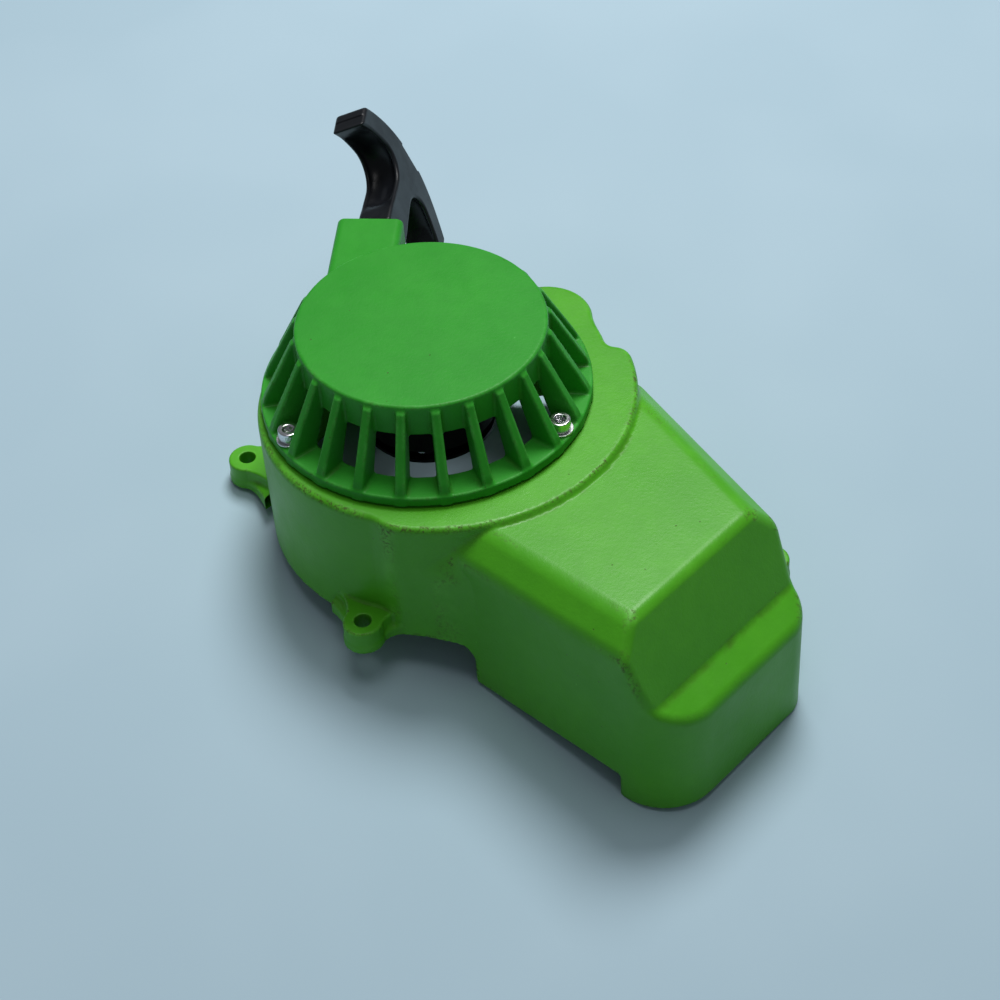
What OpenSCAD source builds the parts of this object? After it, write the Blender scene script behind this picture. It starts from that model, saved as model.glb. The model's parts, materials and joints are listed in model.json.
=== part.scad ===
// Recoil (pull) starter with its fan shroud, for a small two-stroke engine.
// Frame: the origin is on the starter axis, in the plane of the mounting lugs' lower faces.
// +Z runs along the axis to the flat top disc, +X along the air duct's straight side.

/* [Fan shroud] */
// Radius of the round chamber's outer wall
chamber_r = 60; // [58:0.5:62]
// Height of the round chamber's top face above the lugs
chamber_h = 51; // [50:0.5:52]
// Radius of the raised shoulder where the duct begins
shoulder_r = 72.8; // [71:0.2:74]
// Wall thickness of the casting
wall = 3; // [2.5:0.1:3.5]
// Radius of the opening that the starter sits over
opening_r = 48; // [48:0.1:48.4]

/* [Air duct] */
// Distance from the axis to the duct's closed end
duct_end = 142.3; // [140:0.1:144]
// Height of the duct's top face
duct_h = 49; // [48:0.5:50]
// Half width on the straight side
duct_side = 44; // [43:0.5:45]
// Where the flat top stops and the end starts to slope
slope_start = 118.8; // [118:0.1:120]
// How far the duct's walls reach below the lugs
skirt_drop = 17; // [15:0.5:18]
// How far the foot under the closed end reaches below the lugs
foot_drop = 27; // [26:0.5:28]
// Width of the chamfers along the duct's top edges
chamfer = 9.2; // [8:0.1:10]

/* [Mounting lugs] */
// Radius of the lug holes
lug_hole_r = 2.9; // [2.7:0.05:3.2]
// Radius of a lug's round end
lug_r = 6.7; // [6.5:0.1:7.5]
// Thickness of a lug
lug_h = 9; // [8:0.5:10]

/* [Starter housing] */
// Radius of the flat top disc
disc_r = 42; // [41.5:0.1:42.5]
// Height of the disc's top face
top_z = 82; // [82:0.1:82.4]
// Outer radius of the base ring
ring_r = 56; // [55.5:0.1:56.5]
// Height of the base ring
ring_h = 4.2; // [4:0.1:4.4]
// Number of cooling fins
fin_count = 24; // [24:24:24]
// Thickness of a fin
fin_t = 3; // [2.6:0.1:3.2]
// Radius on which the housing screws sit
screw_circle_r = 51.5; // [51.3:0.1:51.7]

/* [Rope outlet] */
// Direction in which the rope leaves, from +X
pull_angle = 127.5; // [125:0.5:130]
// Distance from the starter axis to the rope
rope_offset = 22; // [21.8:0.1:22.2]
// Height of the rope
rope_z = 65.6; // [65.5:0.1:65.7]
// Distance from the starter axis to the neck's end face
neck_end = 62; // [61:0.5:63]
// Radius of the rope
rope_r = 1.5; // [1.4:0.05:1.55]

/* [Handle] */
// Half width of the handle across its arms
handle_half = 32.5; // [31:0.5:36]
// Length from the handle's nose to the middle of its back
handle_len = 47; // [46:0.5:49]
// Thickness of the handle
handle_t = 13.5; // [13:0.5:16]
// Turn of the handle about the rope
handle_turn = 22; // [0:1:90]

/* [Reel and clutch] */
// Radius of the reel's flanges
reel_r = 28.5; // [27:0.5:29]
// Radius of the housing's centre post
post_r = 6; // [5.9:0.05:6.1]
// Swing of a pawl from folded to thrown out
pawl_swing = 35; // [30:1:36]
// Turn of the clutch plate on the reel that throws the pawls out
clutch_turn = 38; // [36:1:40]

/* [Hidden] */
$fn = 96;
eps = 0.01;
run_gap = 0.05;

// shroud
chamber_x = 3.5;
lobe_r = 16.5;
lobe_polar = [55, 85];
fill_r = 13.5;
fill_polar = [52, 68];
shoulder_at = [1.5, -1.5];
shoulder_from = -62;
shoulder_to = 60;
scroll_r = 68.7;
scroll_at = [2.9, 6.2];
duct_start = 57.6;
duct_inner = 45;
foot_start = 120.3;
ledge_top = 20;
ledge_bottom = 15.5;
slope_end = 132;
side_taper = 17;
taper_y = 57.7;
left_corner_r = 20;
right_corner_r = 9;
// each lug: hole centre, direction to the wall, distance to the wall, width at the wall
LUGS = [
    [[-60.3, -34.2], 29.6, 14, 26],
    [[26.6, -64.0], 112.6, 11, 34],
    [[113.0, 43.5], 252.8, 12, 22],
    [[-34.0, 61.0], 299, 14, 26],
];
boss_r = 5.6;
boss_len = 11;
screw_r = 1.95;
screw_angles = [12.1, 132.1, 252.1];

// housing
disc_t = 4;
edge_r = 1.4;
disc_bottom = top_z - disc_t;
dome_wall = 2.8;
dome_bottom = 70;
ring_top = chamber_h + ring_h;
ring_inner = 45.6;
spigot_h = 2.5;
fin_phase = 4.6;
post_bottom = 43.2;
thread_r = 2.9;
thread_len = 12;
neck_side = 13;
neck_w = 23.3;
neck_from = 20;
neck_top = 76;
neck_bottom = 54;
neck_wall = 3;
neck_end_wall = 5;
neck_corner_r = 3;
guide_r = 5;
guide_flange_r = 6.5;
guide_flange_t = 1.4;
guide_bore_r = 2.3;

// screws
head_r = 3.5;
head_h = 4;
hex_r = 1.73;
washer_r = 4.4;
washer_t = 0.8;
seat_gap = 0.02;

// spring
case_r = 27;
case_t = 0.8;
case_bottom = 70.6;
case_hole_r = 10.6;
strip_t = 0.5;
strip_bottom = 71.2;
strip_top = 76.7;
strip_in = 10.4;
strip_out = 25.5;
strip_turns = 9;
hook_angle = 0;

// reel, from its lowest face up
hub_bottom = 43.5;
drum_bottom = 44.7;
drum_r = 23.3;
flange_low = [58.2, 59.9];
flange_high = [67.5, 69.4];
hub_top = 76.9;
hub_low_r = 9.5;
hub_top_r = 9.3;
core_r = 10.9;
bush_r = 7.5;
wrap_pitch = 3.3;
wrap_low_z = rope_z - wrap_pitch;
layer_radii = [12.5, 15.6, 18.7];

// clutch
pivot_at = 14.5;
pivot_r = 2;
pivot_len = 8;
pawl_low = 40.8;
pawl_high = 44.2;
pawl_len = 14;
pawl_fold = -98;
pawl_root_r = 3.6;
pawl_tip_r = 1.5;
peg_at = 6;
peg_r = 1.2;
plate_r = 22.6;
plate_low = 39.1;
plate_high = 40.5;
slot_half = 1.5;
boss_top = 41.9;
shoulder_screw_r = 4.5;
screw_head_top = 36.7;
screw_head_r = 7;
screw_head_h = 3.6;
centre_hex_r = 2.9;
washer_low = 42.2;
washer_high = 43.2;

// handle, in its own plane: v along the rope from the neck's end face, u along the arms
nose_v = 1.7;
back_r = 52;
inner_r = 52;
inner_mid_v = 36;
stem_half = 7;
finger_r = 11;
finger_overrun = 0.2;
finger_u = stem_half + finger_r;
finger_far = inner_r - finger_r + finger_overrun;
finger_v = inner_mid_v - inner_r + sqrt(finger_far * finger_far - finger_u * finger_u);
finger_reach = finger_u * inner_r / (inner_r - finger_r);
notch_half = 6.6;
notch_depth = 2.2;
pocket_r = 5.6;
pocket_v = 34;
knot_r = 4.2;
handle_bore_r = 1.9;

function polar(r, a) = [r * cos(a), r * sin(a)];
function turned(p, a) = [p[0] * cos(a) - p[1] * sin(a), p[0] * sin(a) + p[1] * cos(a)];

module tube(r_out, r_in, z_low, z_high) {
    translate([0, 0, z_low])
        difference() {
            cylinder(r = r_out, h = z_high - z_low);
            translate([0, 0, -1]) cylinder(r = r_in, h = z_high - z_low + 2);
        }
}

module rod(r, z_low, z_high) {
    translate([0, 0, z_low]) cylinder(r = r, h = z_high - z_low);
}

// Places children with +X along the rope, from the foot of the perpendicular to the starter axis
module rope_line() {
    rotate([0, 0, pull_angle]) translate([0, rope_offset, rope_z]) children();
}

module along_rope(r, from, to) {
    translate([from, 0, 0]) rotate([0, 90, 0]) cylinder(r = r, h = to - from);
}

// ---------- fan shroud ----------

module sector(from, to, r) {
    polygon([[0, 0], polar(r, from), polar(r, (2 * from + to) / 3),
        polar(r, (from + 2 * to) / 3), polar(r, to)]);
}

// Outline of the round chamber, drawn inwards by d
module chamber_outline(d) {
    trim = asin(d / shoulder_r);
    translate([chamber_x, -0.3]) circle(r = chamber_r - d);
    translate(polar(lobe_polar[0], lobe_polar[1])) circle(r = lobe_r - d);
    translate(polar(fill_polar[0], fill_polar[1])) circle(r = fill_r - d);
    intersection() {
        translate(shoulder_at) circle(r = shoulder_r - d);
        translate(scroll_at) circle(r = scroll_r - d);
        sector(shoulder_from + trim, shoulder_to - trim, 2 * shoulder_r);
    }
}

// Side view of the duct, drawn inwards by d
module duct_profile(d) {
    floor_z = d > 0 ? -foot_drop - 1 : -foot_drop;
    end_x = duct_end - d;
    polygon([[duct_inner, duct_h - d], [slope_start - d / 2, duct_h - d], [slope_end - d, ledge_top - d / 2],
        [end_x - 3, ledge_bottom + 1 - d / 2], [end_x, ledge_bottom - 1.5 - d / 2], [end_x, floor_z],
        [d > 0 ? duct_inner : foot_start, floor_z], [d > 0 ? duct_inner : foot_start, -skirt_drop],
        [d > 0 ? duct_inner : duct_start, -skirt_drop], [d > 0 ? duct_inner : duct_start, 0],
        [duct_inner, 0]]);
}

// Plan view of the duct, drawn inwards by d
module duct_plan(d) {
    far_y = taper_y - (duct_end - duct_inner) * tan(side_taper);
    drop = d / cos(side_taper);
    difference() {
        polygon([[duct_inner, d - duct_side], [duct_end - d, d - duct_side],
            [duct_end - d, far_y - drop + d * tan(side_taper)], [duct_inner, taper_y - drop]]);
        translate([duct_end - left_corner_r, left_corner_r - duct_side])
            rotate(-90)
                corner(left_corner_r - d);
        translate([duct_end - right_corner_r, far_y - right_corner_r * 0.74])
            corner(right_corner_r - d);
    }
}

// What a round of radius r leaves of a square corner, in the first quadrant
module corner(r) {
    difference() {
        square(r + 20);
        circle(r = r);
        translate([-1, r + eps]) square([1, 20]);
    }
}

module duct_body(d) {
    difference() {
        intersection() {
            translate([0, 100, 0]) rotate([90, 0, 0]) linear_extrude(height = 200) duct_profile(d);
            translate([0, 0, -50]) linear_extrude(height = 120) duct_plan(d);
        }
        chamfer_cut(d, -duct_side, 0, 1);
        chamfer_cut(d, taper_y, -side_taper, -1);
    }
}

// Cuts the top edge along a side wall that starts at (duct_inner, y) and runs at the given angle
module chamfer_cut(d, y, angle, inward) {
    reach = chamfer + 12;
    shift = d * (sqrt(2) - 1);
    translate([duct_inner, y, duct_h - d])
        rotate([0, 0, angle])
            translate([-40, inward * d, 0])
                rotate([90, 0, 90])
                    linear_extrude(height = 220)
                        polygon([[inward * (chamfer - shift), 0], [inward * (chamfer - shift), reach],
                            [-inward * reach, reach], [-inward * reach, shift - chamfer],
                            [0, shift - chamfer]]);
}

module lug(spec) {
    translate([spec[0][0], spec[0][1], 0])
        rotate([0, 0, spec[1]])
            linear_extrude(height = lug_h) {
                circle(r = lug_r);
                polygon([
                    [0, -lug_r + 0.2],
                    [spec[2], -spec[3] / 2],
                    [spec[2], spec[3] / 2],
                    [0, lug_r - 0.2]
                ]);
            }
}

module fan_shroud() {
    color([0.42, 0.78, 0.16])
    difference() {
        union() {
            difference() {
                union() {
                    linear_extrude(height = chamber_h) chamber_outline(0);
                    duct_body(0);
                    for (spec = LUGS) lug(spec);
                }
                translate([0, 0, -1]) linear_extrude(height = chamber_h - wall + 1) chamber_outline(wall);
                duct_body(wall);
            }
            for (a = screw_angles)
                rotate([0, 0, a])
                    translate([screw_circle_r, 0, 0])
                        rod(boss_r, chamber_h - boss_len, chamber_h - wall + 1);
        }
        rod(opening_r, 30, chamber_h + 1);
        for (a = screw_angles)
            rotate([0, 0, a])
                translate([screw_circle_r, 0, 0])
                    rod(screw_r + run_gap, chamber_h - boss_len - 1, chamber_h + 1);
        for (spec = LUGS)
            translate([spec[0][0], spec[0][1], 0])
                rod(lug_hole_r, -1, lug_h + 1);
    }
}

// ---------- starter housing ----------

module fin() {
    rotate([90, 0, 0])
        translate([0, 0, -fin_t / 2])
            linear_extrude(height = fin_t)
                polygon([[disc_r - 1.5, top_z - 1.6], [disc_r + 1, top_z - 1.6], [ring_r, ring_top],
                    [ring_r, chamber_h], [ring_inner, chamber_h], [ring_inner, ring_top],
                    [disc_r - 1.5, dome_bottom]]);
}

module neck_block(inset) {
    rotate([0, 0, pull_angle])
        translate([0, neck_side + inset, 0])
            difference() {
                translate([neck_from, 0, neck_bottom + inset])
                    cube([neck_end - neck_from - (inset > 0 ? neck_end_wall : 0), neck_w - 2 * inset,
                        neck_top - neck_bottom - 2 * inset]);
                if (inset == 0) {
                    neck_edge(neck_w, 1);
                    neck_edge(0, -1);
                }
            }
}

// Rounds one upper edge of the neck
module neck_edge(y, side) {
    translate([neck_from - 1, y - side * neck_corner_r, neck_top - neck_corner_r])
        rotate([90, 0, 90])
            linear_extrude(height = neck_end - neck_from + 2)
                difference() {
                    translate([side > 0 ? 0 : -neck_corner_r - 1, 0]) square(neck_corner_r + 1);
                    circle(r = neck_corner_r);
                }
}

module starter_housing() {
    color([0.24, 0.62, 0.20])
    difference() {
        union() {
            rotate_extrude() {
                translate([0, disc_bottom]) square([disc_r - edge_r, disc_t]);
                translate([0, disc_bottom]) square([disc_r, disc_t - edge_r]);
                translate([disc_r - edge_r, top_z - edge_r]) circle(r = edge_r);
            }
            tube(disc_r, disc_r - dome_wall, dome_bottom, disc_bottom + eps);
            tube(ring_r, ring_inner, chamber_h, ring_top);
            tube(opening_r - 0.3, ring_inner, chamber_h - spigot_h, chamber_h + eps);
            for (k = [0:fin_count - 1])
                rotate([0, 0, fin_phase + k * 360 / fin_count]) fin();
            difference() {
                neck_block(0);
                neck_block(neck_wall);
                rod(disc_r - dome_wall, chamber_h - 1, disc_bottom);
            }
            rod(post_r, post_bottom, disc_bottom + eps);
            tube(case_r + 2, case_r + 0.1, disc_bottom - 1.5, disc_bottom + eps);
        }
        rod(thread_r + run_gap, post_bottom - 1, post_bottom + thread_len + 0.5);
        rope_line() along_rope(guide_r, neck_end - neck_end_wall - 2, neck_end + 1);
        rope_line() along_rope(guide_r - 1, 20, neck_end - 1);
        for (a = screw_angles)
            rotate([0, 0, a])
                translate([screw_circle_r, 0, 0])
                    rod(screw_r + 0.25, chamber_h - 1, ring_top + 1);
    }
}

module cap_screw() {
    head_z = ring_top + washer_t + 2 * seat_gap;
    difference() {
        union() {
            rod(head_r, head_z, head_z + head_h);
            rod(screw_r, chamber_h - boss_len + 1, head_z + eps);
        }
        translate([0, 0, head_z + head_h - 2.2]) cylinder(r = hex_r, h = 3, $fn = 6);
    }
}

module housing_screws() {
    color([0.80, 0.81, 0.83])
    for (a = screw_angles)
        rotate([0, 0, a]) translate([screw_circle_r, 0, 0]) cap_screw();
}

module housing_washers() {
    color([0.72, 0.73, 0.75])
    for (a = screw_angles)
        rotate([0, 0, a])
            translate([screw_circle_r, 0, 0])
                tube(washer_r, screw_r + 0.2, ring_top + seat_gap, ring_top + seat_gap + washer_t);
}

module rope_guide() {
    color([0.62, 0.63, 0.65])
    rope_line()
        difference() {
            union() {
                along_rope(guide_r - run_gap, neck_end - neck_end_wall, neck_end + guide_flange_t);
                along_rope(guide_flange_r, neck_end + seat_gap, neck_end + guide_flange_t);
            }
            along_rope(guide_bore_r, neck_end - neck_end_wall - 1, neck_end + guide_flange_t + 1);
        }
}

// ---------- spring ----------

module spring_case() {
    color([0.55, 0.56, 0.58])
    difference() {
        union() {
            tube(case_r, case_r - case_t, case_bottom, disc_bottom - seat_gap);
            tube(case_r - case_t + eps, case_hole_r, disc_bottom - seat_gap - case_t, disc_bottom - seat_gap);
        }
        rotate([0, 0, hook_angle])
            translate([case_r - 3, -1, strip_bottom - 0.4])
                cube([6, 2, strip_top - strip_bottom + 0.8]);
    }
}

// Point on the spring strip's spiral, f running from 0 at the hub to 1 at the case
function spiral(f, side) =
    polar(strip_in + (strip_out - strip_in) * f + side * strip_t / 2, hook_angle + 360 * strip_turns * f);

module recoil_spring() {
    steps = 28 * strip_turns;
    color([0.33, 0.38, 0.46])
    translate([0, 0, strip_bottom])
        linear_extrude(height = strip_top - strip_bottom)
            union() {
                polygon(concat(
                    [for (i = [0:steps]) spiral(i / steps, 1)],
                    [for (i = [steps:-1:0]) spiral(i / steps, -1)]));
                rotate(hook_angle) {
                    translate([strip_in - 2.2, -strip_t / 2]) square([2.3, strip_t]);
                    translate([strip_out - 0.1, -strip_t / 2]) square([1.5, strip_t]);
                }
            }
}

// ---------- reel ----------

module rope_reel() {
    color([0.06, 0.06, 0.07])
    difference() {
        union() {
            rod(hub_low_r, hub_bottom, drum_bottom + eps);
            rod(drum_r, drum_bottom, flange_low[0] + eps);
            rod(reel_r, flange_low[0], flange_low[1]);
            rod(core_r, flange_low[1] - eps, flange_high[0] + eps);
            rod(reel_r, flange_high[0], flange_high[1]);
            rod(hub_top_r, flange_high[1] - eps, hub_top);
        }
        rod(bush_r, hub_bottom - 1, hub_top + 1);
        rotate([0, 0, hook_angle])
            translate([hub_top_r - 1.6, -0.7, strip_bottom - 0.5])
                cube([3, 1.4, hub_top - strip_bottom + 2]);
        for (a = [0, 180])
            rotate([0, 0, a])
                translate([pivot_at, 0, 0])
                    rod(pivot_r, drum_bottom - 1, drum_bottom + pivot_len);
    }
}

module reel_bush() {
    color([0.72, 0.55, 0.30])
    tube(bush_r, post_r + run_gap, hub_bottom, hub_top);
}

module pawl_pivots() {
    color([0.74, 0.75, 0.77])
    for (a = [0, 180])
        rotate([0, 0, a]) translate([pivot_at, 0, 0]) rod(pivot_r, pawl_low + 0.1, drum_bottom + pivot_len);
}

module rope_windings() {
    color([0.09, 0.09, 0.10])
    for (r = layer_radii)
        for (z = [wrap_low_z, rope_z])
            translate([0, 0, z]) rotate_extrude() translate([r, 0]) circle(r = rope_r, $fn = 32);
    color([0.09, 0.09, 0.10])
    translate([0, 0, wrap_low_z]) rotate_extrude() translate([rope_offset, 0]) circle(r = rope_r, $fn = 32);
}

// ---------- clutch ----------

// Where a pawl's peg is when the pawl has swung by the given angle
function peg(swing) = [pivot_at, 0] + polar(peg_at, pawl_fold + swing);

// The same place as the clutch plate sees it, when share of its turn is done
function peg_in_plate(share) = turned(peg(pawl_swing * share), -clutch_turn * share);

function slot_normal(share) =
    let (d = peg_in_plate(share + 0.01) - peg_in_plate(share - 0.01), n = norm(d)) [-d[1] / n, d[0] / n];

module cam_slot() {
    steps = 12;
    over = 0.04;
    shares = [for (i = [0:steps]) -over + (1 + 2 * over) * i / steps];
    polygon(concat(
        [for (s = shares) peg_in_plate(s) + slot_half * slot_normal(s)],
        [for (i = [steps:-1:0]) peg_in_plate(shares[i]) - slot_half * slot_normal(shares[i])]));
    translate(peg_in_plate(0)) circle(r = slot_half, $fn = 32);
    translate(peg_in_plate(1)) circle(r = slot_half, $fn = 32);
}

// A pawl whose pivot is on +X, folded
module pawl() {
    tip = polar(pawl_len, pawl_fold);
    side = turned([1, 0], pawl_fold + 90);
    color([0.60, 0.61, 0.64])
    translate([pivot_at, 0, 0])
        difference() {
            union() {
                translate([0, 0, pawl_low])
                    linear_extrude(height = pawl_high - pawl_low) {
                        circle(r = pawl_root_r);
                        translate(tip) circle(r = pawl_tip_r, $fn = 32);
                        polygon([side * (pawl_root_r - 0.1), tip + side * pawl_tip_r,
                            tip - side * pawl_tip_r, -side * (pawl_root_r - 0.1)]);
                    }
                translate(polar(peg_at, pawl_fold))
                    rod(peg_r, plate_low - 0.3, pawl_low + eps);
            }
            rod(pivot_r + run_gap, pawl_low - 1, pawl_high + 1);
        }
}

module pawl_a() {
    pawl();
}

module pawl_b() {
    rotate([0, 0, 180]) pawl();
}

module clutch_plate() {
    color([0.66, 0.67, 0.70])
    difference() {
        union() {
            rod(plate_r, plate_low, plate_high);
            rod(hub_low_r - 1.5, plate_high - eps, boss_top);
        }
        rod(shoulder_screw_r + run_gap, plate_low - 1, boss_top + 1);
        for (a = [0, 180])
            rotate([0, 0, a])
                translate([0, 0, plate_low - 1])
                    linear_extrude(height = plate_high - plate_low + 2)
                        cam_slot();
    }
}

module brake_spring() {
    inner = shoulder_screw_r + 0.3;
    outer = inner + 4;
    rise = plate_low - screw_head_top - 0.5;
    color([0.70, 0.71, 0.74])
    translate([0, 0, screw_head_top + seat_gap])
        rotate_extrude()
            polygon([[inner, 0], [inner + 0.3, 0], [outer, rise - 0.7], [outer, rise], [inner, 0.8]]);
}

module centre_screw() {
    color([0.58, 0.59, 0.62])
    difference() {
        union() {
            rod(screw_head_r, screw_head_top - screw_head_h, screw_head_top);
            rod(shoulder_screw_r, screw_head_top - eps, washer_low);
            rod(thread_r, washer_low - eps, post_bottom + thread_len);
        }
        translate([0, 0, screw_head_top - screw_head_h - 1]) cylinder(r = centre_hex_r, h = 3.6, $fn = 6);
    }
}

module retaining_washer() {
    color([0.72, 0.73, 0.75])
    tube(hub_low_r, thread_r + 0.1, washer_low + seat_gap, washer_high - seat_gap);
}

// ---------- rope and handle ----------

module rope_lead() {
    color([0.09, 0.09, 0.10])
    rope_line() along_rope(rope_r, 2, neck_end + pocket_v + 2);
}

module handle_knot() {
    color([0.09, 0.09, 0.10])
    rope_line()
        difference() {
            translate([neck_end + pocket_v + 1.4 + knot_r, 0, 0]) sphere(r = knot_r, $fn = 48);
            along_rope(rope_r, neck_end, neck_end + pocket_v + 2);
        }
}

module handle_plane() {
    rope_line()
        rotate([-handle_turn, 0, 0])
            translate([neck_end, 0, 0])
                children();
}

// The handle's outline, x along the rope and y along the arms
module handle_outline() {
    back_mid = handle_len - back_r;
    difference() {
        translate([back_mid, 0]) circle(r = back_r, $fn = 128);
        translate([inner_mid_v - inner_r, 0]) circle(r = inner_r, $fn = 128);
        translate([-100, handle_half]) square(200);
        translate([-100, -handle_half - 200]) square(200);
        translate([-100, -100]) square([110, 200]);
        translate([handle_len - notch_depth, -notch_half]) square(2 * notch_half);
    }
    translate([nose_v, -stem_half]) square([inner_mid_v - nose_v + 3, 2 * stem_half]);
    for (side = [-1, 1])
        difference() {
            translate([finger_v, side > 0 ? stem_half - 0.1 : -finger_reach])
                square([inner_mid_v - finger_v, finger_reach - stem_half + 0.1]);
            translate([finger_v, side * finger_u]) circle(r = finger_r);
        }
}

module pull_handle() {
    color([0.05, 0.05, 0.055])
    handle_plane()
        difference() {
            translate([0, handle_t / 2, 0])
                rotate([90, 0, 0])
                    linear_extrude(height = handle_t)
                        handle_outline();
            along_rope(handle_bore_r, 0, pocket_v + 1);
            along_rope(pocket_r, pocket_v, handle_len + 2);
        }
}

module knot_washer() {
    color([0.74, 0.75, 0.77])
    handle_plane()
        difference() {
            along_rope(pocket_r - 0.3, pocket_v + seat_gap, pocket_v + 1.1);
            along_rope(handle_bore_r, pocket_v - 1, pocket_v + 2);
        }
}

fan_shroud();
starter_housing();
housing_screws();
housing_washers();
rope_guide();
spring_case();
recoil_spring();
rope_reel();
reel_bush();
pawl_pivots();
rope_windings();
pawl_a();
pawl_b();
clutch_plate();
brake_spring();
centre_screw();
retaining_washer();
rope_lead();
handle_knot();
pull_handle();
knot_washer();
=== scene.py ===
"""Looks of a recoil starter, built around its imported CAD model."""

import json
import math

import bpy
import numpy as np
from mathutils import Matrix, Vector


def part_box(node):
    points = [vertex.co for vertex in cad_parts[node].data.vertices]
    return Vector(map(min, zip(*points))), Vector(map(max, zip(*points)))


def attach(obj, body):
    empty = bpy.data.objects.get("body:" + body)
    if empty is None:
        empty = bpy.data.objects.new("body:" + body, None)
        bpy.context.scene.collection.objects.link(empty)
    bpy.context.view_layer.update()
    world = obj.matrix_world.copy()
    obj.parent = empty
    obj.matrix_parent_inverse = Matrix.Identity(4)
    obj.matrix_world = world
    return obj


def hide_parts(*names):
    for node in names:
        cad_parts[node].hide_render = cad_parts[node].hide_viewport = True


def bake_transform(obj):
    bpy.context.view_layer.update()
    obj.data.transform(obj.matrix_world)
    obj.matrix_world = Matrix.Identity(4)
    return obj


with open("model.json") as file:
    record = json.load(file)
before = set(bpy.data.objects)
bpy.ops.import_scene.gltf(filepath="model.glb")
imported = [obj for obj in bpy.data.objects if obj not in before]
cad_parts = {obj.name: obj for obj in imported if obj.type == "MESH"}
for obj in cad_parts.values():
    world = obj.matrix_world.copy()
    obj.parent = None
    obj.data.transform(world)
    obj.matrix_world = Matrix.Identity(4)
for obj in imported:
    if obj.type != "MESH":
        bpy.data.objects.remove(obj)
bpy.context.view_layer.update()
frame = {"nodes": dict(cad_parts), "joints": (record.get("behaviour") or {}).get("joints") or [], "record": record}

MM = 0.001  # shapes are worked out in millimetres and made in metres


def box_mm(node):
    """A CAD node's lowest and highest corner, in millimetres."""
    low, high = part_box(node)
    return np.array(low) / MM, np.array(high) / MM


# ---------------------------------------------------------------- the frame's sizes, in millimetres

SHROUD_LOW, SHROUD_HIGH = box_mm("fan_shroud")
HOUSING_LOW, HOUSING_HIGH = box_mm("starter_housing")
SCREWS_LOW, SCREWS_HIGH = box_mm("housing_screws")

joints = {joint["name"]: joint for joint in frame["joints"]}
mounts = {mount["name"]: np.array(mount["pos_m"]) / MM for mount in frame["record"]["mounts"]}
PULL = np.array(joints["handle_pull"]["axis"])  # direction in which the rope leaves
SIDE = np.array([-PULL[1], PULL[0], 0.0])
NECK_FACE = np.array(joints["handle_swivel"]["pos_m"]) / MM  # where the rope leaves the neck
ROPE_OFFSET = float(NECK_FACE @ SIDE)
ROPE_Z = float(NECK_FACE[2])
NECK_END = float(NECK_FACE @ PULL)


# ---------------------------------------------------------------- solids as distance functions

def round_and(a, b, r):
    """Where both solids are, with the edge between them rounded to radius r."""
    return np.minimum(np.maximum(a, b), -r) + np.hypot(np.maximum(a + r, 0), np.maximum(b + r, 0))


def round_or(a, b, r):
    """Where either solid is, with a fillet of radius r between them."""
    return np.maximum(np.minimum(a, b), r) - np.hypot(np.maximum(r - a, 0), np.maximum(r - b, 0))


def circle(x, y, centre, r):
    return np.hypot(x - centre[0], y - centre[1]) - r


def polar(r, degrees):
    return np.array([r * math.cos(math.radians(degrees)), r * math.sin(math.radians(degrees))])


def plane(a, b, through, to):
    """Distance from the line that runs through two points, positive on its left."""
    da, db = to[0] - through[0], to[1] - through[1]
    return ((b - through[1]) * da - (a - through[0]) * db) / math.hypot(da, db)


def ease(value, low, high):
    """0 below low, 1 above high, smooth between."""
    t = np.clip((value - low) / (high - low), 0, 1)
    return t * t * (3 - 2 * t)


def slope_of(solid, points, reach=0.04):
    """Gradient of a distance function at some points."""
    slope = np.empty_like(points)
    for k in range(3):
        offset = np.zeros(3)
        offset[k] = reach
        slope[:, k] = (solid(*(points + offset).T) - solid(*(points - offset).T)) / (2 * reach)
    return slope


def curvature_of(solid, points, reach):
    """Positive on ridges and negative in grooves, in 1/mm."""
    total = -6 * solid(*points.T)
    for k in range(3):
        offset = np.zeros(3)
        offset[k] = reach
        total += solid(*(points + offset).T) + solid(*(points - offset).T)
    return total / reach ** 2


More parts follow.
